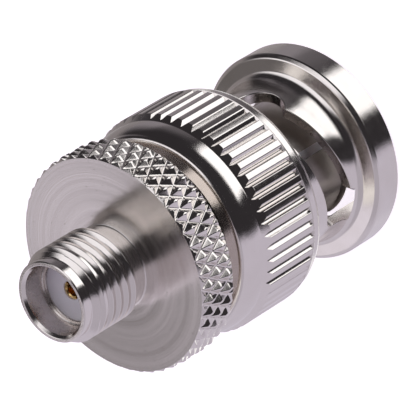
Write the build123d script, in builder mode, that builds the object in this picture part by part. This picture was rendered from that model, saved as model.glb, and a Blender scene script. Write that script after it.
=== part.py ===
"""Coaxial adapter: threaded jack at the top, bayonet plug at the bottom.

Millimetres. The adapter stands on the mouth of its coupling nut: the origin is
the middle of the mouth, +Z runs up the axis to the rim of the threaded jack.
Lengths along the axis are given as depths below that rim and turned into
heights with up(). Every turned piece is drawn as a half section and revolved.
"""

import math
import os

from build123d import *

os.makedirs("parts", exist_ok=True)

# ---------------------------------------------------------------- overall
LENGTH = 25.90                  # rim of the jack to the mouth of the nut


def up(depth):
    """Height above the mouth of a point that lies depth below the jack's rim."""
    return LENGTH - depth


# ---------------------------------------------------------------- threaded jack
THREAD_R = 3.175                # 1/4-36 thread, major diameter 6.35
PILOT_R = 2.75                  # plain end and relief, at the root of the thread
JACK_BORE_R = 2.30
JACK_BORE_CHAMFER_R = 2.50
PILOT_DEPTH = 1.12              # plain end
THREAD_END = 4.60
STEP_DEPTH = 1.75               # metal ring round the insulator
JACK_INSULATOR_R = 2.05
JACK_INSULATOR_FACE = 1.88

# ---------------------------------------------------------------- knurled flange
FLANGE_R = 7.50                 # over the points of the knurl
FLANGE_FACE_R = 7.27
FLANGE_TOP = 5.80
FLANGE_BACK = 8.85
HUB_R = 5.60                    # hub that the nut's rear stops against
HUB_END = 10.95
SEAT_R = 4.15                   # seat of the front body's tail
SEAT_TOP = 8.00

# ---------------------------------------------------------------- front body
TAIL_R = SEAT_R
TAIL_BORE_R = 2.40
SHOULDER_R = 4.85
SHOULDER_TOP = 13.20
SHOULDER_END = 14.20
CONTACT_R = 4.15                # slotted outer contact
CONTACT_BORE_R = 3.45
CONTACT_BORE_TOP = 15.00
CONTACT_END = 24.45
LIP_R = 4.33
SLIT_W = 0.60
SLIT_TOP = 16.40
SLIT_ANGLES = (266.0, 356.0, 86.0, 176.0)

# ---------------------------------------------------------------- centre contact
SOCKET_R = 0.635
SOCKET_BORE_R = 0.46
SOCKET_FACE = 1.95
SOCKET_BORE_DEPTH = 3.2
SOCKET_SLIT_W = 0.16
COLLAR_R = 1.05
COLLAR_END = 8.90
BARREL_R = 0.85                 # thicker length held in the plug's insulator
PIN_R = 0.675
PIN_END = 23.55

# ---------------------------------------------------------------- coupling nut
NUT_REAR = 10.35
REAR_BORE_R = 5.70              # counterbore round the hub
REAR_BORE_END = 10.97
NUT_LIP_R = 4.20                # rear lip that the washers push on
NUT_LIP_END = 11.77
NUT_BORE_R = 4.90
REAR_FACE_R = 6.55
DOME_START_R, DOME_START = 6.86, 10.62
DOME_MID_R, DOME_MID = 7.155, 11.17
DOME_END_R, DOME_END = 7.31, 11.92
GRIP_R = 7.60                   # over the serrations
GRIP_START = 12.50
GRIP_CONE_R, GRIP_CONE = 7.36, 11.96   # small step up from the dome, then the cone
SERRATION_END = 16.60
RIM_R, RIM_START = 7.50, 16.66
RIM_EDGE_R, RIM_EDGE = 7.44, 17.20
RIM_END_R, RIM_END = 7.16, 17.60
NECK_R = 5.62
NECK_END = 21.90                # the neck flares slowly, then quickly, into the ring's back
FLARE_MID_R, FLARE_MID = 5.776, 23.10
FLARE_R, FLARE_END = 6.22, 23.52
RING_BACK_R, RING_BACK = 7.02, 23.68
RING_R = 7.25
RING_START = 23.95
MOUTH_CHAMFER = 0.15
MOUTH_BORE_CHAMFER = 0.25
SERRATIONS = 55
SERRATION_VALLEY_R = 7.39
SERRATION_WALL = (7.541, 0.165)   # radius and half width where a groove's wall eases off
SERRATION_W = 0.53              # width of a groove at the crest
SERRATION_PHASE = 269.4         # a groove lies on this bearing

# bayonet slots: a groove in from the mouth, a ramp of part of a turn, a round seat
SLOT_W = 2.40
ENTRY_ANGLE = 215.5
ENTRY_DEPTH = 21.93             # where the entry meets the ramp
ENTRY_R = 5.78                  # radial depth of the entry groove
SEAT_ANGLE = 315.5
RAMP_PITCH = 9.40               # rise of the ramp in one whole turn
SEAT_HOLE_R = 1.70
SEAT_HOLE_DEPTH = 20.00

# ---------------------------------------------------------------- washers, gasket
WASHER_TOP, WASHER_END = 11.80, 12.10
WASHER_R, WASHER_BORE_R = 4.82, 4.25
WAVE_TOP, WAVE_END = 12.12, 13.18
WAVE_T = 0.25
WAVE_R, WAVE_BORE_R = 4.78, 4.34
WAVES = 3
GASKET_END = 15.50
GASKET_R, GASKET_BORE_R = 4.72, 4.17

# ---------------------------------------------------------------- insulators
FRONT_INSULATOR_SOLID_END = 17.50
FRONT_INSULATOR_END = 23.75
FRONT_INSULATOR_BORE_R = 2.50


# ================================================================ rear body
# jack barrel, knurled flange and hub, turned from one bar
with BuildPart() as rear_body:
    with BuildSketch(Plane.XZ):
        with BuildLine():
            Polyline(
                (JACK_INSULATOR_R, up(STEP_DEPTH)),
                (JACK_BORE_R, up(STEP_DEPTH)),
                (JACK_BORE_R, up(0.22)),
                (JACK_BORE_CHAMFER_R, up(0.0)),
                (PILOT_R - 0.06, up(0.0)),
                (PILOT_R, up(0.06)),
                (PILOT_R, up(PILOT_DEPTH)),
                (THREAD_R, up(PILOT_DEPTH + 0.26)),
                (THREAD_R, up(THREAD_END - 0.30)),
                (PILOT_R, up(THREAD_END)),
                (PILOT_R, up(FLANGE_TOP - 0.12)),
                (PILOT_R + 0.12, up(FLANGE_TOP)),
                (FLANGE_FACE_R, up(FLANGE_TOP)),
                (FLANGE_R, up(FLANGE_TOP + 0.25)),
                (FLANGE_R, up(FLANGE_BACK - 0.22)),
                (FLANGE_FACE_R, up(FLANGE_BACK)),
                (HUB_R, up(FLANGE_BACK)),
                (HUB_R, up(HUB_END)),
                (SEAT_R, up(HUB_END)),
                (SEAT_R, up(SEAT_TOP)),
                (JACK_INSULATOR_R, up(SEAT_TOP)),
                close=True,
            )
        make_face()
    revolve(axis=Axis.Z)
rear_body.part.label = "rear_body"
export_step(rear_body.part, "parts/rear_body.step")

# ================================================================ front body
# tail, shoulder and the slotted outer contact of the plug
with BuildPart() as front_body:
    with BuildSketch(Plane.XZ):
        with BuildLine():
            Polyline(
                (TAIL_BORE_R, up(SEAT_TOP)),
                (TAIL_R, up(SEAT_TOP)),
                (TAIL_R, up(SHOULDER_TOP)),
                (SHOULDER_R, up(SHOULDER_TOP)),
                (SHOULDER_R, up(SHOULDER_END)),
                (CONTACT_R - 0.03, up(SHOULDER_END)),
                (CONTACT_R - 0.03, up(SLIT_TOP)),
                (CONTACT_R, up(23.80)),
                (LIP_R - 0.04, up(24.05)),
                (LIP_R, up(24.20)),
                (LIP_R - 0.05, up(24.36)),
                (LIP_R - 0.20, up(CONTACT_END)),
                (CONTACT_BORE_R + 0.25, up(CONTACT_END)),
                (CONTACT_BORE_R, up(CONTACT_END - 0.25)),
                (CONTACT_BORE_R, up(CONTACT_BORE_TOP)),
                (TAIL_BORE_R, up(CONTACT_BORE_TOP)),
                close=True,
            )
        make_face()
    revolve(axis=Axis.Z)
    # four slits make the outer contact into spring fingers
    with BuildSketch(Plane.XY.offset(up(CONTACT_END) - 0.5)):
        for angle in SLIT_ANGLES:
            with Locations(Rotation(0, 0, angle)):
                with Locations((CONTACT_R - 0.35, 0)):
                    Rectangle(2.2, SLIT_W)
    extrude(amount=CONTACT_END - SLIT_TOP + 0.5, mode=Mode.SUBTRACT)
front_body.part.label = "front_body"
export_step(front_body.part, "parts/front_body.step")

# ================================================================ insulators
with BuildPart() as jack_insulator:
    with BuildSketch(Plane.XY.offset(up(SEAT_TOP))):
        Circle(JACK_INSULATOR_R)
        Circle(SOCKET_R, mode=Mode.SUBTRACT)
    extrude(amount=SEAT_TOP - JACK_INSULATOR_FACE)
jack_insulator.part.label = "jack_insulator"
export_step(jack_insulator.part, "parts/jack_insulator.step")

with BuildPart() as plug_insulator:
    with BuildSketch(Plane.XZ):
        with BuildLine():
            Polyline(
                (COLLAR_R, up(SEAT_TOP)),
                (TAIL_BORE_R, up(SEAT_TOP)),
                (TAIL_BORE_R, up(CONTACT_BORE_TOP)),
                (CONTACT_BORE_R, up(CONTACT_BORE_TOP)),
                (CONTACT_BORE_R, up(FRONT_INSULATOR_END)),
                (FRONT_INSULATOR_BORE_R + 0.12, up(FRONT_INSULATOR_END)),
                (FRONT_INSULATOR_BORE_R, up(FRONT_INSULATOR_END - 0.12)),
                (FRONT_INSULATOR_BORE_R, up(FRONT_INSULATOR_SOLID_END)),
                (BARREL_R, up(FRONT_INSULATOR_SOLID_END)),
                (BARREL_R, up(COLLAR_END)),
                (COLLAR_R, up(COLLAR_END)),
                close=True,
            )
        make_face()
    revolve(axis=Axis.Z)
plug_insulator.part.label = "plug_insulator"
export_step(plug_insulator.part, "parts/plug_insulator.step")

# ================================================================ centre contact
# socket with one saw cut at the jack end, collar held between the insulators, pin at
# the plug end
with BuildPart() as centre_contact:
    with BuildSketch(Plane.XZ):
        with BuildLine():
            Polyline(
                (0, up(SOCKET_FACE + SOCKET_BORE_DEPTH)),
                (SOCKET_BORE_R, up(SOCKET_FACE + SOCKET_BORE_DEPTH - 0.15)),
                (SOCKET_BORE_R, up(SOCKET_FACE + 0.08)),
                (SOCKET_BORE_R + 0.07, up(SOCKET_FACE)),
                (SOCKET_R - 0.04, up(SOCKET_FACE)),
                (SOCKET_R, up(SOCKET_FACE + 0.04)),
                (SOCKET_R, up(SEAT_TOP)),
                (COLLAR_R, up(SEAT_TOP)),
                (COLLAR_R, up(COLLAR_END)),
                (BARREL_R, up(COLLAR_END)),
                (BARREL_R, up(FRONT_INSULATOR_SOLID_END)),
                (PIN_R, up(FRONT_INSULATOR_SOLID_END)),
                (PIN_R, up(PIN_END - 0.55)),
                (PIN_R - 0.13, up(PIN_END - 0.22)),
                (PIN_R - 0.34, up(PIN_END - 0.04)),
                (0, up(PIN_END)),
                close=True,
            )
        make_face()
    revolve(axis=Axis.Z)
    with BuildSketch(Plane.XY.offset(up(SOCKET_FACE + 2.4))):
        Rectangle(2 * SOCKET_R + 0.2, SOCKET_SLIT_W)
    extrude(amount=2.5, mode=Mode.SUBTRACT)
centre_contact.part.label = "centre_contact"
export_step(centre_contact.part, "parts/centre_contact.step")

# ================================================================ coupling nut
with BuildPart() as coupling_nut:
    with BuildSketch(Plane.XZ):
        with BuildLine():
            Polyline(
                (NUT_BORE_R, up(LENGTH - MOUTH_BORE_CHAMFER)),
                (NUT_BORE_R, up(NUT_LIP_END)),
                (NUT_LIP_R, up(NUT_LIP_END)),
                (NUT_LIP_R, up(REAR_BORE_END)),
                (REAR_BORE_R, up(REAR_BORE_END)),
                (REAR_BORE_R, up(NUT_REAR)),
                (REAR_FACE_R, up(NUT_REAR)),
            )
            ThreePointArc(
                (REAR_FACE_R, up(NUT_REAR)),
                (6.75, up(10.44)),
                (DOME_START_R, up(DOME_START)),
            )
            ThreePointArc(
                (DOME_START_R, up(DOME_START)),
                (DOME_MID_R, up(DOME_MID)),
                (DOME_END_R, up(DOME_END)),
            )
            Polyline(
                (DOME_END_R, up(DOME_END)),
                (GRIP_CONE_R, up(GRIP_CONE)),
                (GRIP_R, up(GRIP_START)),
                (GRIP_R, up(RIM_START - 0.30)),
                (RIM_R, up(RIM_START)),
                (RIM_EDGE_R, up(RIM_EDGE)),
                (RIM_END_R, up(RIM_END)),
                (NECK_R + 0.20, up(RIM_END)),
                (NECK_R, up(RIM_END + 0.20)),
                (NECK_R, up(NECK_END)),
            )
            ThreePointArc(
                (NECK_R, up(NECK_END)),
                (5.655, up(22.60)),
                (FLARE_MID_R, up(FLARE_MID)),
            )
            ThreePointArc(
                (FLARE_MID_R, up(FLARE_MID)),
                (5.93, up(23.35)),
                (FLARE_R, up(FLARE_END)),
            )
            Polyline(
                (FLARE_R, up(FLARE_END)),
                (RING_BACK_R, up(RING_BACK)),
                (RING_R, up(RING_START)),
                (RING_R, up(LENGTH - MOUTH_CHAMFER)),
                (RING_R - MOUTH_CHAMFER, up(LENGTH)),
                (NUT_BORE_R + MOUTH_BORE_CHAMFER, up(LENGTH)),
                (NUT_BORE_R, up(LENGTH - MOUTH_BORE_CHAMFER)),
            )
        make_face()
    revolve(axis=Axis.Z)
    # straight serrations of the grip: V grooves with flat lands between them
    with BuildSketch(Plane.XY.offset(up(SERRATION_END))):
        with PolarLocations(0, SERRATIONS, start_angle=SERRATION_PHASE):
            Polygon(
                (SERRATION_VALLEY_R, 0),
                (SERRATION_WALL[0], -SERRATION_WALL[1]),
                (GRIP_R + 0.06, -SERRATION_W / 2 - 0.10),
                (GRIP_R + 0.06, SERRATION_W / 2 + 0.10),
                SERRATION_WALL,
                align=None,
            )
    extrude(amount=SERRATION_END - DOME_END + 0.05, mode=Mode.SUBTRACT)
    # two bayonet slots, half a turn apart
    for turn in (0.0, 180.0):
        entry = ENTRY_ANGLE + turn
        # entry groove, open at the mouth and through the wall of the neck
        with BuildSketch(Plane.XY.offset(-0.5)):
            with Locations(Rotation(0, 0, entry)):
                with Locations(((ENTRY_R + 4.0) / 2, 0)):
                    Rectangle(ENTRY_R - 4.0, SLOT_W)
        extrude(amount=up(ENTRY_DEPTH) + 0.5, mode=Mode.SUBTRACT)
        # round upper end of the entry and round seat at the end of the ramp
        radial_entry = Plane(
            origin=(4.45 * math.cos(math.radians(entry)),
                    4.45 * math.sin(math.radians(entry)), up(ENTRY_DEPTH)),
            x_dir=(0, 0, 1),
            z_dir=(math.cos(math.radians(entry)), math.sin(math.radians(entry)), 0),
        )
        with BuildSketch(radial_entry):
            Circle(SLOT_W / 2)
        extrude(amount=2.0, mode=Mode.SUBTRACT)
        seat = SEAT_ANGLE + turn
        radial_seat = Plane(
            origin=(4.2 * math.cos(math.radians(seat)),
                    4.2 * math.sin(math.radians(seat)), up(SEAT_HOLE_DEPTH)),
            x_dir=(0, 0, 1),
            z_dir=(math.cos(math.radians(seat)), math.sin(math.radians(seat)), 0),
        )
        with BuildSketch(radial_seat):
            Circle(SEAT_HOLE_R)
        extrude(amount=2.4, mode=Mode.SUBTRACT)
        # ramp: the slot's section carried along a helix
        ramp = Location((0, 0, up(ENTRY_DEPTH)), (0, 0, entry)) * Helix(
            pitch=RAMP_PITCH,
            height=RAMP_PITCH * (SEAT_ANGLE - ENTRY_ANGLE) / 360.0,
            radius=5.25,
            mode=Mode.PRIVATE,
        )
        with BuildSketch(Plane(origin=ramp @ 0,
                               x_dir=(math.cos(math.radians(entry)),
                                      math.sin(math.radians(entry)), 0),
                               z_dir=ramp % 0)):
            Rectangle(1.5, SLOT_W)
        sweep(path=ramp, is_frenet=True, mode=Mode.SUBTRACT)
coupling_nut.part.label = "coupling_nut"
export_step(coupling_nut.part, "parts/coupling_nut.step")

# ================================================================ washers
with BuildPart() as thrust_washer:
    with BuildSketch(Plane.XY.offset(up(WASHER_END))):
        Circle(WASHER_R)
        Circle(WASHER_BORE_R, mode=Mode.SUBTRACT)
    extrude(amount=WASHER_END - WASHER_TOP)
thrust_washer.part.label = "thrust_washer"
export_step(thrust_washer.part, "parts/thrust_washer.step")

# wave washer: flat strip bent into three waves round the axis
wave_mid_r = (WAVE_R + WAVE_BORE_R) / 2
wave_mid_z = up((WAVE_TOP + WAVE_END) / 2)
wave_amp = (WAVE_END - WAVE_TOP - WAVE_T) / 2 - 0.02
with BuildPart() as wave_washer:
    for third in range(WAVES):
        with BuildPart(mode=Mode.PRIVATE) as wave:
            for k in range(13):
                bearing = math.radians(third * 120 + k * 10)
                with BuildSketch(Plane(
                    origin=(wave_mid_r * math.cos(bearing), wave_mid_r * math.sin(bearing),
                            wave_mid_z + wave_amp * math.cos(bearing * WAVES)),
                    x_dir=(math.cos(bearing), math.sin(bearing), 0),
                    z_dir=(-math.sin(bearing), math.cos(bearing), 0),
                )):
                    Rectangle(WAVE_R - WAVE_BORE_R, WAVE_T)
            loft()
        add(wave.part)
wave_washer.part.label = "wave_washer"
export_step(wave_washer.part, "parts/wave_washer.step")

# ================================================================ gasket
with BuildPart() as gasket:
    with BuildSketch(Plane.XY.offset(up(GASKET_END))):
        Circle(GASKET_R)
        Circle(GASKET_BORE_R, mode=Mode.SUBTRACT)
    extrude(amount=GASKET_END - SHOULDER_END)
gasket.part.label = "gasket"
export_step(gasket.part, "parts/gasket.step")

for built in (rear_body, front_body, jack_insulator, plug_insulator, centre_contact,
              coupling_nut, thrust_washer, wave_washer, gasket):
    box = built.part.bounding_box()
    print(f"{built.part.label:16s} volume {built.part.volume:9.3f} mm3  solids "
          f"{len(built.part.solids())}  z {box.min.Z:7.3f} {box.max.Z:7.3f}  "
          f"x {box.min.X:7.3f} {box.max.X:7.3f}  valid {built.part.is_valid}")
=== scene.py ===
"""Looks for the coaxial adapter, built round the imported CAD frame.

Lengths are in millimetres while a mesh is made and in metres once it is a piece. As in the part,
places along the axis are depths below the jack's rim, and bearings run counterclockwise from +X.
"""

import math

import bpy
import numpy as np
from mathutils import Matrix


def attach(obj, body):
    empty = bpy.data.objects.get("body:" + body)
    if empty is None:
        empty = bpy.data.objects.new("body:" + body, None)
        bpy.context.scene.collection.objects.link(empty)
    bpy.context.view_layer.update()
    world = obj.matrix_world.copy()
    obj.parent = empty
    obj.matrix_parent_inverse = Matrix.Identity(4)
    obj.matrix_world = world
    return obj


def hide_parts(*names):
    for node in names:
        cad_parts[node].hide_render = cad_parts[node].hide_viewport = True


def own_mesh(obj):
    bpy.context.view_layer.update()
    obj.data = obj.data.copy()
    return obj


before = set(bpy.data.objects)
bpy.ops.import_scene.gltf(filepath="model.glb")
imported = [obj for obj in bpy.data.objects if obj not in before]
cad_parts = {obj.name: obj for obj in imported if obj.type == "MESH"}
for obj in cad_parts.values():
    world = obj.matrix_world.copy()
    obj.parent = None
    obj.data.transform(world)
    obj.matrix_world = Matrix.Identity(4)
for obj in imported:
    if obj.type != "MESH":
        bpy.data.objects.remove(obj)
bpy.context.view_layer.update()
scene = bpy.context.scene

MM = 0.001
LENGTH = 25.90


# ---------------------------------------------------------------- mesh building
class Shell:
    """Corners with their own normals, gathered first and welded by place at the end."""

    def __init__(self):
        self.points, self.normals, self.faces, self.slots = [], [], [], []
        self.count = 0

    def add(self, points, normals):
        first = self.count
        points = np.asarray(points, float).reshape(-1, 3)
        self.points.append(points)
        self.normals.append(np.asarray(normals, float).reshape(-1, 3))
        self.count += len(points)
        return first

    def face(self, corners, slot=0):
        self.faces.append(corners)
        self.slots.append(slot)

    def grid(self, points, normals, wrap=True, slot=0, keep=None):
        """points[row, column]: rows run along the profile and columns round the axis."""
        rows, cols = points.shape[:2]
        first = self.add(points, normals)
        span = cols if wrap else cols - 1
        for i in range(rows - 1):
            for j in range(span):
                if keep is not None and not keep(i, j):
                    continue
                k = (j + 1) % cols
                self.face([first + i * cols + j, first + (i + 1) * cols + j,
                           first + (i + 1) * cols + k, first + i * cols + k], slot)
        return first

    def build(self, name, materials):
        points = np.concatenate(self.points)
        normals = np.concatenate(self.normals)
        keys = np.round(points * 2e4).astype(np.int64)
        _, where, index = np.unique(keys, axis=0, return_index=True, return_inverse=True)
        index = index.ravel()
        faces, slots, loops = [], [], []
        seen = set()
        for corners, slot in zip(self.faces, self.slots):
            ring, own = [], []
            for c in corners:
                v = int(index[c])
                if ring and ring[-1] == v:
                    continue
                ring.append(v)
                own.append(c)
            if len(ring) > 1 and ring[0] == ring[-1]:
                ring.pop()
                own.pop()
            if len(ring) < 3 or len(set(ring)) != len(ring):
                continue
            key = frozenset(ring)
            if key in seen:
                continue
            seen.add(key)
            faces.append(ring)
            slots.append(slot)
            loops.extend(own)
        used = np.unique(np.concatenate([np.array(f) for f in faces]))
        remap = -np.ones(len(where), int)
        remap[used] = np.arange(len(used))
        mesh = bpy.data.meshes.new(name)
        mesh.from_pydata((points[where][used] * MM).tolist(), [],
                         [[int(remap[v]) for v in f] for f in faces])
        for m in materials:
            mesh.materials.append(m)
        mesh.polygons.foreach_set("material_index", slots)
        mesh.polygons.foreach_set("use_smooth", [True] * len(faces))
        own = normals[loops]
        own /= np.linalg.norm(own, axis=1, keepdims=True)
        mesh.normals_split_custom_set(own.tolist())
        mesh.update()
        obj = bpy.data.objects.new(name, mesh)
        scene.collection.objects.link(obj)
        return obj


def turned(points, steps=5):
    """Half profile of (radius, depth, fillet) or (radius, depth, None) for a point on a curve.
    Gives rows of radius, depth and the normal in that plane. Down the outside and up the bore
    is outwards and inwards."""
    p = [np.array(q[:2], float) for q in points]
    fillet = [q[2] for q in points]
    rows = []

    def normal(d):
        d = d / np.linalg.norm(d)
        return np.array([d[1], -d[0]])

    last = len(p) - 1
    for i in range(len(p)):
        if i == 0 or i == last:
            d = p[1] - p[0] if i == 0 else p[last] - p[last - 1]
            rows.append((*p[i], *normal(d)))
            continue
        a, b = p[i] - p[i - 1], p[i + 1] - p[i]
        la, lb = np.linalg.norm(a), np.linalg.norm(b)
        a, b = a / la, b / lb
        if fillet[i] is None:
            rows.append((*p[i], *normal(a / la + b / lb)))
            continue
        turn = math.acos(max(-1, min(1, float(a @ b))))
        if turn < 1e-4:
            rows.append((*p[i], *normal(a)))
            continue
        t = min(fillet[i] * math.tan(turn / 2), 0.45 * la, 0.45 * lb)
        rho = t / math.tan(turn / 2)
        start = p[i] - a * t
        left = np.array([-a[1], a[0]])
        side = 1.0 if a[0] * b[1] - a[1] * b[0] > 0 else -1.0
        centre = start + left * rho * side
        n = max(2, min(steps, int(turn / 0.2) + 2))
        for k in range(n):
            w = turn * k / (n - 1) * side
            c, s = math.cos(w), math.sin(w)
            v = start - centre
            q = centre + np.array([c * v[0] - s * v[1], s * v[0] + c * v[1]])
            d = np.array([c * a[0] - s * a[1], s * a[0] + c * a[1]])
            rows.append((*q, *normal(d)))
    return np.array(rows)


def arc(p1, p2, p3, n):
    """n + 1 points on the circle through three."""
    (x1, y1), (x2, y2), (x3, y3) = p1, p2, p3
    m = np.array([[x2 - x1, y2 - y1], [x3 - x1, y3 - y1]]) * 2
    k = np.array([x2**2 - x1**2 + y2**2 - y1**2, x3**2 - x1**2 + y3**2 - y1**2])
    c = np.linalg.solve(m, k)
    a = [math.atan2(y - c[1], x - c[0]) for x, y in (p1, p2, p3)]
    while a[1] - a[0] > math.pi:
        a[1] -= 2 * math.pi
    while a[1] - a[0] < -math.pi:
        a[1] += 2 * math.pi
    while a[2] - a[1] > math.pi:
        a[2] -= 2 * math.pi
    while a[2] - a[1] < -math.pi:
        a[2] += 2 * math.pi
    r = math.hypot(x1 - c[0], y1 - c[1])
    return [(c[0] + r * math.cos(t), c[1] + r * math.sin(t))
            for t in np.linspace(a[0], a[2], n + 1)]


def place(radius, depth, bearing):
    radius, depth, bearing = np.broadcast_arrays(radius, depth, bearing)
    return np.stack([radius * np.cos(bearing), radius * np.sin(bearing), LENGTH - depth], -1)


def aim(nr, nt, nd, bearing):
    """Normal from its radial, sideways and downward (along depth) shares."""
    nr, nt, nd, bearing = np.broadcast_arrays(nr, nt, nd, bearing)
    c, s = np.cos(bearing), np.sin(bearing)
    n = np.stack([nr * c - nt * s, nr * s + nt * c, -nd], -1)
    return n / np.linalg.norm(n, axis=-1, keepdims=True)


def lathe(shell, rows, bearing, slot=0):
    r, d, nr, nd = (rows[:, k][:, None] for k in range(4))
    return shell.grid(place(r, d, bearing[None, :]), aim(nr, 0 * nr, nd, bearing[None, :]),
                      slot=slot)


# ---------------------------------------------------------------- materials
def node(tree, kind, inputs=None, **settings):
    n = tree.nodes.new(kind)
    for k, v in settings.items():
        setattr(n, k, v)
    for k, v in (inputs or {}).items():
        if isinstance(v, bpy.types.NodeSocket):
            tree.links.new(v, n.inputs[k])
        else:
            n.inputs[k].default_value = v
    return n


def maths(tree, operation, a, b=None, c=None, clamp=False):
    inputs = {0: a}
    if b is not None:
        inputs[1] = b
    if c is not None:
        inputs[2] = c
    n = node(tree, "ShaderNodeMath", inputs, operation=operation)
    n.use_clamp = clamp
    return n.outputs[0]


def material(name, base, metallic, roughness):
    m = bpy.data.materials.new(name)
    m.use_nodes = True
    shader = m.node_tree.nodes["Principled BSDF"]
    shader.inputs["Base Color"].default_value = (*base, 1)
    shader.inputs["Metallic"].default_value = metallic
    shader.inputs["Roughness"].default_value = roughness
    return m, m.node_tree, shader


def noise(tree, vector, scale, detail=2.0, rough=0.5):
    return node(tree, "ShaderNodeTexNoise", {"Vector": vector, "Scale": scale, "Detail": detail,
                                             "Roughness": rough}).outputs["Fac"]


def spread(tree, value, low, high, to_low, to_high, smooth=False):
    n = node(tree, "ShaderNodeMapRange", {"Value": value, "From Min": low, "From Max": high,
                                          "To Min": to_low, "To Max": to_high})
    if smooth:
        n.interpolation_type = "SMOOTHSTEP"
    return n.outputs["Result"]


def bump(tree, height, distance, strength, normal=None):
    inputs = {"Height": height, "Distance": distance, "Strength": strength}
    if normal is not None:
        inputs["Normal"] = normal
    return node(tree, "ShaderNodeBump", inputs).outputs["Normal"]


NICKEL = (0.80, 0.765, 0.74)


def mix_colour(t, factor, a, b):
    n = t.nodes.new("ShaderNodeMix")
    n.data_type = "RGBA"
    sockets = [s for s in n.inputs if s.enabled]
    for s, v in zip(sockets, (factor, a, b)):
        if isinstance(v, bpy.types.NodeSocket):
            t.links.new(v, s)
        else:
            s.default_value = v
    return [o for o in n.outputs if o.enabled][0]


def turned_lines(t, where):
    """Coordinates that run only across the tool marks of a turned surface."""
    parts = node(t, "ShaderNodeSeparateXYZ", {0: where})
    flat = node(t, "ShaderNodeCombineXYZ", {"X": parts.outputs["X"], "Y": parts.outputs["Y"]})
    radius = node(t, "ShaderNodeVectorMath", {0: flat.outputs[0]}, operation="LENGTH")
    return node(t, "ShaderNodeCombineXYZ", {"X": radius.outputs["Value"],
                                            "Y": parts.outputs["Z"]}).outputs[0]


def make_plate(name, base, worn, rough, marks):
    """Nickel plate: fine grain, tool marks of the given strength and a few small pits."""
    m, t, shader = material(name, base, 1.0, rough)
    where = node(t, "ShaderNodeTexCoord").outputs["Object"]
    fine = noise(t, where, 15000.0, 4.0, 0.65)
    broad = noise(t, where, 2200.0, 2.0, 0.5)
    lines = noise(t, turned_lines(t, where), 22000.0, 2.0, 0.6)
    pits = spread(t, noise(t, where, 8500.0, 1.0, 0.5), 0.76, 0.84, 0.0, 1.0, True)
    normal = bump(t, fine, 0.000008, 0.30)
    normal = bump(t, lines, 0.000004, marks, normal)
    normal = bump(t, broad, 0.00003, 0.10, normal)
    t.links.new(normal, shader.inputs["Normal"])
    rough = spread(t, broad, 0.3, 0.7, rough * 0.7, rough * 1.3)
    t.links.new(maths(t, "MULTIPLY_ADD", pits, 0.15, rough), shader.inputs["Roughness"])
    large = spread(t, noise(t, where, 500.0), 0.3, 0.7, 0.0, 1.0)
    plate = mix_colour(t, large, (*base, 1), (*worn, 1))
    t.links.new(mix_colour(t, maths(t, "MULTIPLY", pits, 0.6), plate, (0.42, 0.39, 0.37, 1)),
                shader.inputs["Base Color"])
    return m


def make_contact():
    """Sprung outer contact: duller, browner plate with lengthwise and turning marks; its colour
    is also darkened as painted shade, since it is seen only in the nut's shade.
    """
    m, t, shader = material("contact_plate_and_shade", (0.42, 0.385, 0.365), 1.0, 0.34)
    where = node(t, "ShaderNodeTexCoord").outputs["Object"]
    squeeze = node(t, "ShaderNodeVectorMath", {0: where, 1: (1.0, 1.0, 0.12)},
                   operation="MULTIPLY").outputs[0]
    streaks = noise(t, squeeze, 9000.0, 3.0, 0.6)
    lines = noise(t, turned_lines(t, where), 16000.0, 3.0, 0.6)
    normal = bump(t, streaks, 0.000010, 0.30)
    normal = bump(t, lines, 0.000010, 0.35, normal)
    t.links.new(normal, shader.inputs["Normal"])
    t.links.new(spread(t, streaks, 0.3, 0.7, 0.28, 0.42), shader.inputs["Roughness"])
    t.links.new(mix_colour(t, noise(t, where, 1500.0), (0.37, 0.34, 0.32, 1),
                           (0.46, 0.425, 0.405, 1)), shader.inputs["Base Color"])
    return m


def make_turned():
    """Turned faces: fine concentric tool marks under the plate, so light fans out across them."""
    m, t, shader = material("nickel_turned", NICKEL, 1.0, 0.2)
    where = node(t, "ShaderNodeTexCoord").outputs["Object"]
    along = turned_lines(t, where)
    lines = noise(t, along, 26000.0, 3.0, 0.6)
    bands = noise(t, along, 2600.0, 2.0, 0.5)
    grain = noise(t, where, 14000.0, 3.0, 0.6)
    normal = bump(t, lines, 0.000006, 0.34)
    normal = bump(t, grain, 0.000008, 0.22, normal)
    t.links.new(normal, shader.inputs["Normal"])
    t.links.new(spread(t, bands, 0.3, 0.7, 0.16, 0.26), shader.inputs["Roughness"])
    shader.inputs["Anisotropic"].default_value = 0.75
    tangent = node(t, "ShaderNodeTangent", direction_type="RADIAL", axis="Z")
    t.links.new(tangent.outputs[0], shader.inputs["Tangent"])
    shader.inputs["Anisotropic Rotation"].default_value = 0.25
    speck = spread(t, noise(t, where, 5200.0, 1.0, 0.5), 0.76, 0.80, 0.0, 1.0, True)
    scored = spread(t, noise(t, along, 7000.0, 4.0, 0.7), 0.35, 0.75, 0.0, 1.0)
    metal = mix_colour(t, scored, (*NICKEL, 1), (0.735, 0.70, 0.67, 1))
    t.links.new(mix_colour(t, speck, metal, (0.30, 0.27, 0.25, 1)), shader.inputs["Base Color"])
    return m


def make_ptfe(name, low, high):
    m, t, shader = material(name, low, 0.0, 0.42)
    where = node(t, "ShaderNodeTexCoord").outputs["Object"]
    rings = noise(t, turned_lines(t, where), 9000.0, 2.0, 0.5)
    cloud = noise(t, where, 900.0, 2.0, 0.5)
    t.links.new(bump(t, rings, 0.000010, 0.25), shader.inputs["Normal"])
    t.links.new(mix_colour(t, cloud, (*low, 1), (*high, 1)),
                shader.inputs["Base Color"])
    t.links.new(spread(t, rings, 0.3, 0.7, 0.36, 0.5), shader.inputs["Roughness"])
    shader.inputs["Subsurface Weight"].default_value = 0.25
    shader.inputs["Subsurface Scale"].default_value = 0.0006
    shader.inputs["Subsurface Radius"].default_value = (1.0, 0.9, 0.9)
    return m


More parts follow.
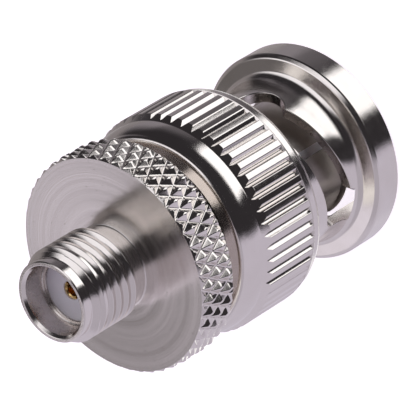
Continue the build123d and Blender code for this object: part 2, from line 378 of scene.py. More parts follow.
def make_gold():
    m, t, shader = material("gold_plate", (0.86, 0.62, 0.26), 1.0, 0.2)
    where = node(t, "ShaderNodeTexCoord").outputs["Object"]
    fine = noise(t, where, 12000.0, 3.0, 0.6)
    t.links.new(bump(t, fine, 0.000008, 0.3), shader.inputs["Normal"])
    t.links.new(spread(t, noise(t, where, 2500.0), 0.3, 0.7, 0.14, 0.26),
                shader.inputs["Roughness"])
    t.links.new(mix_colour(t, noise(t, where, 1800.0), (0.82, 0.58, 0.22, 1),
                           (0.90, 0.68, 0.32, 1)), shader.inputs["Base Color"])
    return m


def make_silicone():
    m, t, shader = material("silicone", (0.30, 0.27, 0.26), 0.0, 0.55)
    where = node(t, "ShaderNodeTexCoord").outputs["Object"]
    fine = noise(t, where, 4000.0, 3.0, 0.6)
    t.links.new(bump(t, fine, 0.00002, 0.3), shader.inputs["Normal"])
    t.links.new(spread(t, fine, 0.3, 0.7, 0.45, 0.65), shader.inputs["Roughness"])
    t.links.new(mix_colour(t, noise(t, where, 1500.0), (0.26, 0.235, 0.225, 1),
                           (0.33, 0.30, 0.285, 1)), shader.inputs["Base Color"])
    return m


def make_spring():
    m, t, shader = material("spring_strip", (0.56, 0.54, 0.53), 1.0, 0.25)
    where = node(t, "ShaderNodeTexCoord").outputs["Object"]
    fine = noise(t, where, 7000.0, 3.0, 0.6)
    t.links.new(bump(t, fine, 0.00001, 0.3), shader.inputs["Normal"])
    t.links.new(spread(t, fine, 0.3, 0.7, 0.2, 0.32), shader.inputs["Roughness"])
    t.links.new(mix_colour(t, noise(t, where, 900.0), (0.50, 0.48, 0.47, 1),
                           (0.62, 0.60, 0.58, 1)), shader.inputs["Base Color"])
    return m


BRIGHT = make_plate("nickel_bright", NICKEL, (0.77, 0.735, 0.705), 0.10, 0.16)
LINED = make_plate("nickel_lined", NICKEL, (0.76, 0.725, 0.69), 0.13, 0.55)
# Darker, rougher plate for the jack's bore and the middle of the slots' walls: its darker colour
# is painted shade for these recesses.
RECESS_SHADED_PLATE = make_plate("nickel_recess_painted_shade", (0.70, 0.655, 0.63), (0.64, 0.59, 0.56), 0.26, 0.40)
CONTACT = make_contact()
TURNED = make_turned()
PTFE = make_ptfe("ptfe_jack", (0.78, 0.745, 0.82), (0.84, 0.81, 0.87))
# The plug's insulator gets a whiter PTFE than the jack's: painted light that brightens it where
# it shows in shade through the slit in the outer contact.
PTFE_PLUG_PAINTED_LIGHT = make_ptfe("ptfe_plug_painted_light", (0.93, 0.91, 0.93), (0.96, 0.94, 0.96))
GOLD = make_gold()
SILICONE = make_silicone()
SPRING = make_spring()

# ---------------------------------------------------------------- rear body
# jack barrel with its thread, knurled flange and hub
KNURLS = 47
KNURL_SUB = 10                      # mesh columns in half a knurl pitch
FINE = KNURLS * 2 * KNURL_SUB       # columns round the knurl
BASE = FINE // 4                    # columns round the rest
FLANGE_R, FLANGE_FACE_R = 7.50, 7.27
FLANGE_TOP, FLANGE_BACK = 5.80, 8.85
KNURL_BOTTOM_R = 7.17
KNURL_ROW = 0.868                   # depth between rows of groove crossings
KNURL_PHASE = math.radians(270.0 - 4.4)
THREAD_R, PLAIN_R, PITCH = 3.175, 2.75, 25.4 / 36
CREST, ROOT_R, ROOT_ARC = 0.24, 2.88, 0.05
FACE_LEAN = -0.05                   # the turned face is very slightly dished


def smaller(a, b, k):
    """The smaller of two heights, eased over about k where they meet."""
    m = np.minimum(a, b)
    return m - k * np.log(np.exp(-(a - m) / k) + np.exp(-(b - m) / k))


def flange_edge(depth):
    """Radius of the turned blank of the flange, with its two chamfers."""
    return np.interp(depth, [FLANGE_TOP, FLANGE_TOP + 0.25, FLANGE_BACK - 0.22, FLANGE_BACK],
                     [FLANGE_FACE_R, FLANGE_R, FLANGE_R, FLANGE_FACE_R])


def knurl(bearing, depth):
    turn = -(bearing - KNURL_PHASE) / (2 * math.pi) * KNURLS
    rise = (depth - FLANGE_TOP) / (2 * KNURL_ROW)
    blank = flange_edge(depth)
    pitch = 2 * math.pi * FLANGE_R / KNURLS * math.cos(math.radians(30))
    # the grooves run out towards the flange's face
    floor = KNURL_BOTTOM_R + 0.085 * np.exp(-((depth - FLANGE_TOP) / 0.16) ** 2)
    r = blank
    for s in (1, -1):
        u = turn + s * rise
        off = np.abs(u - np.round(u)) * pitch
        groove = floor + np.sqrt(off**2 + 0.03**2) * 0.95
        r = smaller(r, groove, 0.010)
    return r


def surface_normal(fun, bearing, depth):
    e = 1e-4
    r = fun(bearing, depth)
    drt = (fun(bearing + e, depth) - fun(bearing - e, depth)) / (2 * e)
    drd = (fun(bearing, depth + e) - fun(bearing, depth - e)) / (2 * e)
    return aim(np.ones_like(r), -drt / r, -drd, bearing)


def make_rear_body():
    s = Shell()
    fine = KNURL_PHASE + np.arange(FINE) * 2 * math.pi / FINE
    base = fine[::4]
    # hidden seat, up the bore, over the rim and down the plain end
    rows = turned([
        (4.15, 10.95, 0), (4.15, 8.00, 0.02), (2.05, 8.00, 0.02), (2.05, 1.80, 0.012),
        (2.095, 1.745, 0.02), (2.215, 1.745, 0.02), (2.30, 1.66, 0.05), (2.30, 0.25, 0),
    ])
    # the bore takes the darker plate, painted shade
    lathe(s, rows, base, 2)
    rows = turned([
        (2.30, 0.25, 0), (2.30, 0.20, 0.05), (2.46, 0.02, 0.03), (2.50, 0.0, 0.02),
        (2.68, 0.0, 0.03), (2.75, 0.07, 0.04), (2.75, 0.60, 0),
    ])
    lathe(s, rows, base)
    # helical thread: worn flat crests, steep flanks and a narrow round root, between a filleted
    # chamfer at the start and a plain one at the end
    half = 0.5 * (PITCH - CREST)
    bow = np.radians(np.linspace(-55, 55, 7))
    form = turned([(THREAD_R, -PITCH / 2, 0), (THREAD_R, -half, 0.05)]
                  + [(ROOT_R + ROOT_ARC * (1 - math.cos(a)), ROOT_ARC * math.sin(a), None)
                     for a in bow]
                  + [(THREAD_R, half, 0.05), (THREAD_R, PITCH / 2, 0)], 4)
    dense = []
    for a, b in zip(form[:-1], form[1:]):
        n = max(1, int(np.hypot(*(b[:2] - a[:2])) / 0.045))
        for k in range(n):
            w = k / n
            q = a * (1 - w) + b * w
            q[2:] /= np.hypot(*q[2:])
            dense.append(q)
    form = np.array(dense)
    start, end = 0.60, 4.78
    turns = int((end - start) / PITCH) + 4
    rows = np.concatenate([form + [0, k * PITCH, 0, 0] for k in range(turns)])
    # a right-hand thread rises with the bearing
    swing = np.concatenate([base, [base[0] + 2 * math.pi]])
    rise = PITCH * (swing - base[0]) / (2 * math.pi)
    depth = 1.570 - 1.5 * PITCH + rows[:, 1][:, None] - rise[None, :]
    radius = np.broadcast_to(rows[:, 0][:, None], depth.shape).copy()
    nr = np.broadcast_to(rows[:, 2][:, None], depth.shape).copy()
    nd = np.broadcast_to(rows[:, 3][:, None], depth.shape).copy()
    depth = np.clip(depth, start, end)
    # chamfer whose foot is a small arc, tangent to the plain end
    slope = math.radians(50.0)
    foot, bend = 0.66, 0.08
    along = np.clip(depth - foot, 0.0, bend * math.sin(slope))
    curve = PLAIN_R + bend - np.sqrt(bend**2 - along**2)
    lead = curve + np.maximum(depth - foot - bend * math.sin(slope), 0.0) * math.tan(slope)
    tilt = np.arcsin(along / bend)
    tail = PLAIN_R + (end - depth) * 1.45
    before, after = lead < radius, tail < radius
    nr = np.where(before, np.cos(tilt), np.where(after, 0.823, nr))
    nd = np.where(before, -np.sin(tilt), np.where(after, 0.568, nd))
    radius = np.minimum(radius, np.minimum(lead, np.maximum(tail, PLAIN_R)))
    s.grid(place(radius, depth, swing[None, :]), aim(nr, 0 * nr, nd, swing[None, :]), wrap=False)
    # relief and its fillet into the flange's face
    rows = turned([(PLAIN_R, end, 0), (PLAIN_R, FLANGE_TOP, 0.12), (3.0, FLANGE_TOP, 0)])
    rows[-1, 2:] = (FACE_LEAN, -1.0)
    lathe(s, rows, base, 1)
    # flange's face: plain rings, then a ring of cells out to the edge of the knurl
    rings = np.array([3.0, 3.5, 4.1, 4.8, 5.5, 6.2, 6.8, 7.08])
    rows = np.stack([rings, rings * 0 + FLANGE_TOP, rings * 0 + FACE_LEAN, rings * 0 - 1], -1)
    lathe(s, rows, base, 1)
    edges = [FLANGE_TOP, FLANGE_TOP + 0.04, FLANGE_TOP + 0.25, FLANGE_BACK - 0.22,
             FLANGE_BACK - 0.04, FLANGE_BACK]
    step = KNURL_ROW / KNURL_SUB
    lattice = [d for d in FLANGE_TOP + step * np.arange(1, 40)
               if d < FLANGE_BACK and min(abs(d - e) for e in edges) > 0.025]
    depths = np.array(sorted(edges + lattice))
    radius = knurl(fine[None, :], depths[:, None])
    s.grid(place(radius, depths[:, None], fine[None, :]),
           surface_normal(knurl, fine[None, :] + 0 * depths[:, None],
                          np.clip(depths[:, None] + 0 * fine[None, :], FLANGE_TOP + 0.002,
                                  FLANGE_BACK - 0.002)))
    for row, ring, depth, up in ((0, 7.08, FLANGE_TOP, -1), (-1, 7.05, FLANGE_BACK, 1)):
        lean = FACE_LEAN if up < 0 else 0.0
        rim = s.add(place(radius[row], depth, fine), aim(fine * 0 + lean, fine * 0, fine * 0 + up,
                                                         fine))
        inner = s.add(place(ring, depth, base), aim(base * 0 + lean, base * 0, base * 0 + up,
                                                    base))
        for j in range(BASE):
            k = (j + 1) % BASE
            cell = [inner + j] + [rim + (4 * j + i) % FINE for i in range(5)] + [inner + k]
            s.face(cell if up < 0 else cell[::-1], 1 if up < 0 else 0)
    # back of the flange and hub
    rows = turned([(7.05, FLANGE_BACK, 0), (5.60, FLANGE_BACK, 0.05), (5.60, 10.95, 0.05),
                   (4.15, 10.95, 0)])
    lathe(s, rows, base)
    return s.build("rear_body_detail", [BRIGHT, TURNED, RECESS_SHADED_PLATE])


# ---------------------------------------------------------------- coupling nut
TEETH = 55
TOOTH = 2 * math.pi / TEETH
GRIP_R = 7.60
GRIP_PHASE = math.radians(269.4)     # a groove lies on this bearing
BASE_COLS = 6                        # mesh columns in one tooth away from the grip
NUT_R, NUT_BORE_R = 5.62, 4.90
FLARE_START, FLARE_MID = 21.90, 23.10
ENTRY, SEAT = math.radians(215.5), math.radians(315.5)
EDGE = 0.07                          # rounding of the slots' edges
GROOVE_R = 5.79                      # floor of the entry groove inside the mouth ring


def near(bearing, middle):
    return (bearing - middle + math.pi) % (2 * math.pi) - math.pi


def slot_distance(bearing, depth, last=99.0):
    """Distance to the edge of the nearest bayonet slot, negative inside it."""
    best = np.full(np.broadcast(bearing, depth).shape, 9.0)
    for turn in (0.0, math.pi):
        e = near(bearing, ENTRY + turn)
        f = near(bearing, SEAT + turn)
        side = NUT_R * np.sin(np.clip(e, -1.2, 1.2))
        there = np.abs(e) < 1.2
        entry = np.where(there, np.maximum(np.maximum(np.abs(side) - 1.2, 21.93 - depth),
                                           depth - last), 9.0)
        top = np.where(there, np.hypot(side, depth - 21.93) - 1.2, 9.0)
        lug = np.where(np.abs(f) < 1.2,
                       np.hypot(NUT_R * np.sin(np.clip(f, -1.2, 1.2)), depth - 20.0) - 1.70, 9.0)
        gone = np.degrees((bearing - ENTRY - turn + 0.6) % (2 * math.pi) - 0.6)
        middle = 21.93 - 0.02611 * gone
        band = (np.abs(depth - middle) - 1.2415) * 0.962
        ramp = np.maximum(band, np.maximum(-gone, gone - 100.0) * math.radians(NUT_R))
        best = np.minimum(best, np.minimum(np.minimum(entry, top), np.minimum(lug, ramp)))
    return best


def clip_rows(rows, bearing, distance):
    """Cuts the cells of a turned grid along the slot's edge.
    Gives whole and cut cells, the new corners and the pieces of edge, all keyed by grid place."""
    n, m = len(rows), len(bearing)
    value = distance(bearing[None, :], rows[:, 1][:, None]) - EDGE
    corner = {}

    def point(key):
        if key in corner:
            return
        if key[0] == "v":
            i, j = key[1:]
            corner[key] = (rows[i], bearing[j % m] + (2 * math.pi if j >= m else 0))
        else:
            (i, j), (k, l) = key[1:]
            a, b = value[i, j % m], value[k, l % m]
            w = a / (a - b)
            x0, x1 = bearing[j % m] + (2 * math.pi if j >= m else 0), \
                bearing[l % m] + (2 * math.pi if l >= m else 0)
            corner[key] = (rows[i] * (1 - w) + rows[k] * w, x0 * (1 - w) + x1 * w)

    cells, edges = [], []
    for i in range(n - 1):
        if value[i:i + 2].min() > 2.0:
            cells += [[("v", i, j), ("v", i + 1, j), ("v", i + 1, j + 1), ("v", i, j + 1)]
                      for j in range(m)]
            continue
        for j in range(m):
            ring = [(i, j), (i + 1, j), (i + 1, j + 1), (i, j + 1)]
            v = [value[a, b % m] for a, b in ring]
            if min(v) >= 0:
                cells.append([("v", *q) for q in ring])
                continue
            if max(v) < 0:
                continue
            out, cut = [], []
            for k in range(4):
                p, q, a, b = ring[k], ring[(k + 1) % 4], v[k], v[(k + 1) % 4]
                if a >= 0:
                    out.append(("v", *p))
                if (a >= 0) != (b >= 0):
                    first, second = (p, q) if p < q else (q, p)
                    key = ("e", first, second)
                    out.append(key)
                    cut.append((key, a >= 0))
            if len(out) < 3:
                continue
            cells.append(out)
            if len(cut) == 2:
                leave = [c for c in cut if c[1]]
                enter = [c for c in cut if not c[1]]
                if leave and enter:
                    edges.append((leave[0][0], enter[0][0]))
    for cell in cells:
        for key in cell:
            point(key)
    return cells, corner, edges


def stitch(shell, upper, upper_at, lower, lower_at):
    """Triangles between two open rings of corners whose columns differ."""
    i = j = 0
    while i < len(upper) - 1 or j < len(lower) - 1:
        step_up = j == len(lower) - 1 or (i < len(upper) - 1
                                          and upper_at[i + 1] <= lower_at[j + 1] + 1e-9)
        if step_up:
            shell.face([upper[i], lower[j], upper[i + 1]])
            i += 1
        else:
            shell.face([upper[i], lower[j], lower[j + 1]])
            j += 1


def tooth():
    """One pitch of the grip across the axis: angle from the groove's middle, radius and normal,
    from one land's middle to the next. The rolled groove leans: one wall steepens outwards to a
    tight shoulder, the other is even with a wide one."""
    walls = []
    for across, slope in (
            ([0.0, 0.008, 0.015, 0.055, 0.100, 0.145, 0.183, 0.198, 0.212, 0.228, 0.245],
             [0.0, 16.0, 31.0, 39.0, 48.5, 55.5, 58.0, 45.0, 30.0, 14.0, 0.0]),
            ([0.0, 0.008, 0.015, 0.070, 0.130, 0.192, 0.210, 0.230, 0.252, 0.273, 0.295],
             [0.0, 20.0, 39.0, 40.0, 41.0, 42.0, 35.0, 26.5, 17.5, 9.0, 0.0])):
        across, slope = np.array(across), np.radians(slope)
        steps = np.diff(across) * 0.5 * (np.tan(slope[1:]) + np.tan(slope[:-1]))
        walls.append([across, slope, np.concatenate([[0.0], np.cumsum(steps)])])
    deep = 0.5 * (walls[0][2][-1] + walls[1][2][-1])
    for wall in walls:
        wall[2] *= deep / wall[2][-1]
    (x0, a0, h0), (x1, a1, h1) = walls
    at = np.concatenate([(-0.025 - x0[::-1]), (-0.025 + x1[1:])]) / GRIP_R
    radius = GRIP_R - deep + np.concatenate([h0[::-1], h1[1:]])
    lean = np.concatenate([a0[::-1], -a1[1:]])
    half = TOOTH / 2
    at = np.concatenate([[-half], at, [half]])
    r = np.concatenate([[GRIP_R], radius, [GRIP_R]])
    lean = np.concatenate([[0.0], lean, [0.0]])
    return at, r, np.cos(lean), np.sin(lean)


def make_nut():
    s = Shell()
    cols = GRIP_PHASE + TOOTH * (np.arange(TEETH * BASE_COLS) / BASE_COLS - 0.5)

    # dome of the rear and the edge of the grip's cone
    dome = arc((6.58, 10.35), (6.79, 10.44), (6.89, 10.64), 5)
    shoulder = arc((6.89, 10.64), (7.165, 11.17), (7.31, 11.92), 14)
    curve = [(r, d, None) for r, d in dome[1:] + shoulder[1:-1]]
    top = turned([(NUT_BORE_R, 17.80, 0), (NUT_BORE_R, 11.77, 0.04), (4.20, 11.77, 0.04),
                  (4.20, 10.97, 0.05), (5.70, 10.97, 0.04), (5.70, 10.35, 0.04),
                  (6.50, 10.35, 0.05)] + curve + [(7.31, 11.92, 0.03), (7.318, 11.955, 0)])
    lathe(s, top, cols)

    # serrated grip: cone, then grooves that begin where their walls leave the cone
    at, radius, nr, nt = tooth()
    count = len(at) - 1
    fine = np.concatenate([GRIP_PHASE + TOOTH * k + at[:-1] for k in range(TEETH)]
                          + [[GRIP_PHASE + TOOTH * (TEETH - 0.5)]])
    index = np.append(np.arange(TEETH * count) % count, 0)
    # the rolled grooves run shallower over a short arc of the grip
    full = np.ones(TEETH)
    full[42:47] = (0.85, 0.72, 0.60, 0.55, 0.55)
    full = full[np.append(np.arange(TEETH * count) // count, TEETH - 1)]
    gr = GRIP_R - full * (GRIP_R - radius[index])
    lean_t = full * nt[index] / nr[index]
    gnr = 1 / np.sqrt(1 + lean_t**2)
    gnt = lean_t * gnr
    cone_r, cone_d = np.array([7.318, 7.333, 7.60]), np.array([11.955, 11.99, 12.50])
    lean = np.array([0.886, -0.463])
    leave = np.interp(gr, cone_r, cone_d)
    share = np.array([0.0, 0.35, 0.7, 1.0])[:, None]
    first = 11.99
    dep = first + (leave - first)[None, :] * share
    rad = np.interp(dep, cone_d, cone_r)
    nrm = aim(lean[0] + 0 * dep, 0 * dep, lean[1] + 0 * dep, fine[None, :])
    s.grid(place(rad, dep, fine[None, :]), nrm, wrap=False)
    # the turned edge between the dome's last row and the cone
    upper = s.add(place(7.318, 11.955, np.append(cols, cols[0] + 2 * math.pi)),
                  aim(lean[0], 0.0, lean[1], np.append(cols, cols[0] + 2 * math.pi)))
    lower = s.add(place(7.333, first, fine), aim(lean[0] + 0 * fine, 0.0, lean[1], fine))
    stitch(s, range(upper, upper + len(cols) + 1), np.append(cols, cols[0] + 2 * math.pi),
           range(lower, lower + len(fine)), fine)
    run = np.array([0.0, 0.02, 0.06, 0.35, 1.0, 2.0, 3.0, 3.7, 4.02])
    grip_end = 16.52
    dep = leave[None, :] + run[:, None] / run[-1] * (grip_end - leave)[None, :]
    soften = np.exp(-run / 0.03)[:, None] * 0.35
    land = (gr > GRIP_R - 0.02)[None, :]
    s.grid(place(gr[None, :] + 0 * dep, dep, fine[None, :]),
           aim(gnr[None, :] + 0 * dep, gnt[None, :] + 0 * dep, np.where(land, -soften, 0.0),
               fine[None, :]), wrap=False)
    # blind ends of the grooves
    last = place(gr, grip_end, fine)
    full = place(7.592, 16.60, fine)
    s.grid(np.stack([last, full]), np.stack([aim(fine * 0 + 0.5, 0, -0.86, fine)] * 2),
           wrap=False)
    upper = s.add(full, aim(0.6 + 0 * fine, 0.0, 0.8, fine))
    ring_at = np.append(cols, cols[0] + 2 * math.pi)
    lower = s.add(place(7.585, 16.625, ring_at), aim(0.6, 0.0, 0.8, ring_at))
    stitch(s, range(upper, upper + len(fine)), fine, range(lower, lower + len(ring_at)), ring_at)
    bands = turned([(7.585, 16.625, 0), (7.50, 16.68, 0.03), (7.44, 17.20, 0.035),
                    (7.30, 17.50, 0.15), (7.10, 17.60, 0.04), (5.82, 17.60, 0.05),
                    (NUT_R, 17.80, 0)])
    lathe(s, bands, cols, 1)

    # neck and mouth ring outside
    slow = np.linspace(FLARE_START, FLARE_MID, 13)
    flare = [(NUT_R + 0.0903 * (x - FLARE_START) ** 3, x) for x in slow]
    flare += arc(flare[-1], (5.93, 23.35), (6.22, 23.52), 8)[1:]
    neck = [(NUT_R, d) for d in np.arange(17.80, FLARE_START - 0.02, 0.12)]
    plain = len(neck)
    d = np.array(neck + flare)
    tangent = np.gradient(d, axis=0)
    tangent[:plain] = (0, 1)
    tangent[plain:plain + 13] = np.stack([0.2709 * (slow - FLARE_START) ** 2, slow * 0 + 1], -1)
    tangent[-1] = (0.95, 0.21)
    outer = np.stack([d[:, 0], d[:, 1], tangent[:, 1], -tangent[:, 0]], -1)
    outer[:, 2:] /= np.hypot(outer[:, 2], outer[:, 3])[:, None]
    floor_at = float(np.interp(GROOVE_R, [p[0] for p in flare], [p[1] for p in flare]))
    ring = turned([(6.22, 23.52, 0), (6.95, 23.665, 0.04), (7.03, 23.70, 0.03),
                   (7.20, 23.86, 0.08), (7.25, 23.97, 0.05), (7.25, 25.75, 0.06),
                   (7.10, 25.90, 0.05), (GROOVE_R, 25.90, 0)])
    ring[0, 2:] = outer[-1, 2:]
    lathe(s, ring, cols, 1)
    mouth = turned([(GROOVE_R, 25.90, 0), (5.15, 25.90, 0.04), (NUT_BORE_R, 25.65, 0.04),
                    (NUT_BORE_R, 25.4, 0)])
    depths = [x[1] for x in outer if x[1] < 25.0]
    bore = [(NUT_BORE_R, x, -1.0, 0.0) for x in (25.0, 24.5, 24.0)] + \
           [(NUT_BORE_R, x, -1.0, 0.0) for x in reversed(depths)]
    inner = np.concatenate([mouth, np.array(bore)])

    def out_edge(bearing, depth):
        return slot_distance(bearing, depth, floor_at)

    def radius_out(depth):
        return np.interp(depth, outer[:, 1], outer[:, 0])

    sides = {}
    for name, rows, dist in (("out", outer, out_edge), ("in", inner[::-1], slot_distance)):
        # the bore's rows are taken downwards too, so that both sides share their keys
        cells, corner, edges = clip_rows(rows, cols, dist)
        index = {}
        order = sorted(corner, key=str)
        pts = np.array([[*corner[k][0], corner[k][1]] for k in order])
        first = s.add(place(pts[:, 0], pts[:, 1], pts[:, 4]),
                      aim(pts[:, 2], 0, pts[:, 3], pts[:, 4]))
        index = {k: first + i for i, k in enumerate(order)}
        for cell in cells:
            ids = [index[k] for k in cell]
            s.face(ids if name == "out" else ids[::-1], 1)
        sides[name] = (corner, edges)

    def unit(bearing, depth):
        e = 1e-3
        gx = (slot_distance(bearing + e, depth) - slot_distance(bearing - e, depth)) / (2 * e)
        gy = (slot_distance(bearing, depth + e) - slot_distance(bearing, depth - e)) / (2 * e)
        gx = float(gx) / NUT_R
        n = math.hypot(gx, float(gy)) or 1.0
        return gx / n, float(gy) / n

    def rounding(row, bearing, side):
        """Corners from a surface over the rounded edge to the wall of the slot."""
        gx, gy = unit(bearing, row[1])
        made = []
        for k in range(4):
            w = math.pi / 2 * k / 3
            go = EDGE * math.sin(w)
            drop = EDGE * (1 - math.cos(w)) * side
            b, dp = bearing - gx * go / NUT_R, row[1] - gy * go
            made.append((place(row[0] - drop, dp, b),
                         aim(math.cos(w) * side, -gx * math.sin(w), -gy * math.sin(w), b)))
        return made, (bearing - gx * EDGE / NUT_R, row[1] - gy * EDGE, gx, gy)

    m = len(cols)
    corner_o, edges_o = sides["out"]
    corner_i, edges_i = sides["in"]

    # the two sides' rows are counted from 17.80 down, so the same key is the same place
    depth_o = [round(float(x), 6) for x in outer[:, 1]]
    rows_in = inner[::-1]
    shared = {}
    for i, r in enumerate(rows_in):
        if r[0] == NUT_BORE_R and round(float(r[1]), 6) in depth_o:
            shared[i] = depth_o.index(round(float(r[1]), 6))

    def to_outer(key):
        (i, j), (k, l) = key[1:]
        if i in shared and k in shared:
            return ("e", (shared[i], j), (shared[k], l))
        return None

    outer_edges = {frozenset((a, b)) for a, b in edges_o}
    used = set()
    for a, b in edges_i:
        pair = (to_outer(a), to_outer(b))
        both = None not in pair and frozenset(pair) in outer_edges
        if both and max(corner_i[a][0][1], corner_i[b][0][1]) < floor_at - 0.14:
            used.add(frozenset(pair))
            chains = []
            for key_i, key_o in ((a, pair[0]), (b, pair[1])):
                over, _ = rounding(corner_o[key_o][0], corner_o[key_o][1], 1)
                under, _ = rounding(corner_i[key_i][0], corner_i[key_i][1], -1)
                chains.append(over + under[::-1])
        else:
            chains = []
            for key_i in (a, b):
                row, bearing = corner_i[key_i]
                gx, gy = unit(bearing, min(row[1], 25.5))
                b1 = bearing - gx * EDGE / NUT_R
                d1 = row[1] - gy * EDGE
                nrm = aim(0.0, -gx, -gy, b1)
                top_r = GROOVE_R if row[1] > floor_at - 0.14 else float(radius_out(d1))
                chains.append([(place(top_r, d1, b1), nrm), (place(row[0], d1, b1), nrm),
                               (place(row[0], row[1], bearing),
                                aim(row[2], 0.0, row[3], bearing))])
        p, q = chains
        # the bore's cells are turned over, so its edge runs from b to a on that side
        for k in range(len(p) - 1):
            ids = [s.add(c[0], c[1]) for c in (p[k], q[k], q[k + 1], p[k + 1])]
            # the middle strip of each slot's wall takes the darker plate, painted shade
            s.face([ids[0], ids[3], ids[2], ids[1]], 2 if k == len(p) // 2 - 1 else 0)
    # outer edge along the floor of the entry
    for a, b in edges_o:
        if frozenset((a, b)) in used:
            continue
        chains = []
        for key in (a, b):
            row, bearing = corner_o[key]
            end = min(row[1] + 0.0, floor_at)
            side = near(bearing, ENTRY) if abs(near(bearing, ENTRY)) < 1 else near(bearing,
                                                                                ENTRY + math.pi)
            half = math.asin(1.2 / NUT_R)
            mid = bearing - side
            b1 = mid + max(-half, min(half, side))
            chains.append([(place(row[0], row[1], bearing), aim(row[2], 0.0, row[3], bearing)),
                           (place(GROOVE_R, max(end, floor_at - 0.02), b1),
                            aim(row[2], 0.0, row[3], bearing))])
        p, q = chains
        ids = [s.add(c[0], c[1]) for c in (p[0], q[0], q[1], p[1])]
        s.face(ids[::-1])
    # floor of the entry grooves
    half = math.asin(1.2 / NUT_R)
    for turn in (0.0, math.pi):
        b = ENTRY + turn + np.linspace(-half, half, 13)
        dp = np.array([floor_at - 0.02, 23.6, 24.2, 24.8, 25.4, 25.9])
        pts = place(GROOVE_R, dp[:, None], b[None, :])
        nrm = aim(-1.0, 0.0, 0.0, b[None, :] + 0 * dp[:, None])
        s.grid(pts[::-1], nrm[::-1], wrap=False)
    return s.build("coupling_nut_detail", [BRIGHT, LINED, RECESS_SHADED_PLATE])


def make_wave_washer():
    """Flat spring strip in three waves, with rounded edges."""
    s = Shell()
    mid_r, mid_depth, wide, thick, wave, edge = 4.56, 12.65, 0.44, 0.25, 0.385, 0.04
    bearing = np.linspace(0, 2 * math.pi, 193)[:-1][None, :]
    rows = []
    for sr, sd, first in ((1, -1, -90), (1, 1, 0), (-1, 1, 90), (-1, -1, 180)):
        for a in np.radians(np.linspace(first, first + 90, 4)):
            rows.append((mid_r + sr * (wide / 2 - edge) + edge * math.cos(a),
                         sd * (thick / 2 - edge) + edge * math.sin(a), math.cos(a), math.sin(a)))
    rows.append(rows[0])
    r, d, nr, nd = (np.array(rows)[:, k][:, None] for k in range(4))
    slope = 3 * wave * np.sin(3 * bearing) / mid_r
    depth = mid_depth - wave * np.cos(3 * bearing) + d * np.sqrt(1 + slope ** 2)
    s.grid(place(r, depth, bearing), aim(nr, -slope * nd, nd, bearing))
    return s.build("wave_washer_detail", [SPRING])


rear = make_rear_body()
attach(rear, "adapter_body")
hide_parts("rear_body")

nut = make_nut()
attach(nut, "nut")
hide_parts("coupling_nut")

wave_washer = make_wave_washer()
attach(wave_washer, "adapter_body")
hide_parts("wave_washer")
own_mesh(wave_washer)

LOOKS = {"front_body": CONTACT, "jack_insulator": PTFE, "plug_insulator": PTFE_PLUG_PAINTED_LIGHT,
         "centre_contact": GOLD, "thrust_washer": SPRING, "gasket": SILICONE}
for name, look in LOOKS.items():
    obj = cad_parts[name]
    obj.data.materials.clear()
    obj.data.materials.append(look)

# ---------------------------------------------------------------- light
world = bpy.data.worlds.new("studio")
scene.world = world
world.use_nodes = True
wt = world.node_tree
wt.nodes.clear()
direction = node(wt, "ShaderNodeTexCoord").outputs["Generated"]
xyz = node(wt, "ShaderNodeSeparateXYZ", {0: direction})
azimuth = maths(wt, "ARCTAN2", xyz.outputs["Y"], xyz.outputs["X"])
azimuth = maths(wt, "MULTIPLY", azimuth, 180 / math.pi)
azimuth = maths(wt, "FLOORED_MODULO", maths(wt, "ADD", azimuth, 110.0 + 720.0), 360.0)
elevation = maths(wt, "MULTIPLY", maths(wt, "ARCSINE", xyz.outputs["Z"]), 180 / math.pi)


def gate(value, low, high, ease_low, ease_high):
    """1 between low and high, eased at each end."""
    up = spread(wt, value, low - ease_low / 2, low + ease_low / 2, 0.0, 1.0, True)
    down = spread(wt, value, high - ease_high / 2, high + ease_high / 2, 1.0, 0.0, True)
    return maths(wt, "MULTIPLY", up, down)


def bearing_of(az):
    return (az + 110.0) % 360.0


DARK = (0.032, 0.029, 0.032, 1)
TABLE = (0.614, 0.571, 0.66)
# panels, later ones over earlier ones: bearing from and to, elevation from and to, the widths of
# the four edges, colour
PANELS = [
    # zenith
    (-109, 249, 77, 95, 1, 1, 10, 1, (0.20, 0.187, 0.205)),
    # walls, lighter towards the back
    (-22, 22, -90, -22, 40, 20, 1, 26, (0.135, 0.124, 0.135)),
    (9, 40, -90, -19, 14, 12, 1, 28, (0.265, 0.243, 0.265)),
    (37, 104, -90, 34, 14, 20, 1, 22, (0.27, 0.246, 0.252)),
    (64, 104, -90, 60, 26, 20, 1, 20, (0.40, 0.366, 0.378)),
    # white ceiling reflector
    (-62, 44, 34, 77, 24, 24, 14, 8, (1.10, 1.076, 1.12)),
    # pale table, greyer above
    (92, 223, 22, 96, 12, 16, 26, 1, (0.50, 0.465, 0.53)),
    (95, 228.9, -90, 26, 14, 9, 1, 24, TABLE),
    # corner behind the bench: shaded wall, paler board
    (48, 90, 24, 60, 16, 6, 10, 12, (0.15, 0.138, 0.138)),
    (91, 134, 24, 60, 6, 16, 10, 12, (0.85, 0.795, 0.885)),
    # lit backdrop straight behind
    (44, 143, -69, -47, 14, 12, 8, 8, (1.25, 1.24, 1.25)),
    # soft box, hung slightly askew
    (-90.5, -34, -76, -5, 6, 10, 14, 9, (1.42, 1.405, 1.42)),
]
colour = DARK
askew = maths(wt, "ADD", azimuth, maths(wt, "MULTIPLY_ADD", elevation, 0.2, 8.7))
for a0, a1, e0, e1, ea0, ea1, ee0, ee1, rgb in PANELS:
    lo = bearing_of(a0)
    hi = lo + (a1 - a0)
    along = askew if a0 == -90.5 else azimuth
    mask = maths(wt, "MULTIPLY", gate(along, lo, hi, ea0, ea1),
                 gate(elevation, e0, e1, ee0, ee1))
    colour = mix_colour(wt, mask, colour, (*rgb, 1))
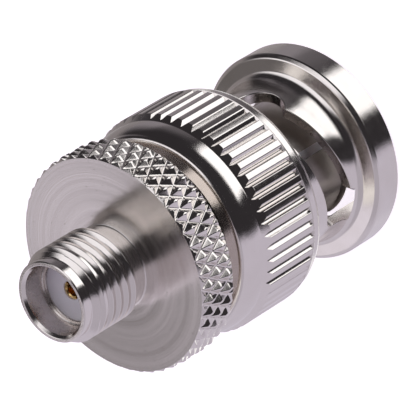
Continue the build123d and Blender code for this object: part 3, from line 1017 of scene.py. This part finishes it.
background = node(wt, "ShaderNodeBackground", {"Color": colour, "Strength": 1.0})
plain = node(wt, "ShaderNodeBackground", {"Color": (1.0, 1.0, 1.0, 1), "Strength": 1.1})
seen = node(wt, "ShaderNodeLightPath").outputs["Is Camera Ray"]
blend = node(wt, "ShaderNodeMixShader", {0: seen, 1: background.outputs[0],
                                         2: plain.outputs[0]})
sink = node(wt, "ShaderNodeOutputWorld")
wt.links.new(blend.outputs[0], sink.inputs[0])

# ---------------------------------------------------------------- floor
floor_mesh = bpy.data.meshes.new("floor")
n = 48
ring = [(3.0 * math.cos(2 * math.pi * k / n), 3.0 * math.sin(2 * math.pi * k / n), -0.00002)
        for k in range(n)]
floor_mesh.from_pydata(ring, [], [list(range(n))])
floor = bpy.data.objects.new("floor", floor_mesh)
scene.collection.objects.link(floor)
fm, ft, fs = material("pale_floor_painted_glow", (0.86, 0.85, 0.86), 0.0, 0.9)
# The floor's glow is painted light: it keeps the floor white with no shade under the part and
# lights the mouth and slots from below.
fs.inputs["Emission Color"].default_value = (0.80, 0.745, 0.82, 1)
fs.inputs["Emission Strength"].default_value = 1.0
fs.inputs["Specular IOR Level"].default_value = 0.0
floor_mesh.materials.append(fm)
floor.visible_glossy = False
floor.visible_shadow = False

# ---------------------------------------------------------------- camera
camera = bpy.data.cameras.new("camera")
camera.sensor_fit = "HORIZONTAL"
camera.sensor_width = 36.0
camera.lens = 366.48
camera.clip_start = 0.01
camera.clip_end = 20.0
camera_obj = bpy.data.objects.new("camera", camera)
scene.collection.objects.link(camera_obj)
right = np.array([-0.5175, -0.5714, -0.6370])
up = np.array([0.8557, -0.3456, -0.3852])
right /= np.linalg.norm(right)
up -= right * (up @ right)
up /= np.linalg.norm(up)
back = np.cross(right, up)
camera_obj.matrix_world = Matrix((
    (right[0], up[0], back[0], -0.00002),
    (right[1], up[1], back[1], -0.2022),
    (right[2], up[2], back[2], 0.1921),
    (0, 0, 0, 1),
))
scene.camera = camera_obj
scene.view_settings.view_transform = "Standard"
scene.view_settings.look = "None"
scene.cycles.max_bounces = 12
scene.cycles.glossy_bounces = 8
scene.cycles.sample_clamp_indirect = 6.0
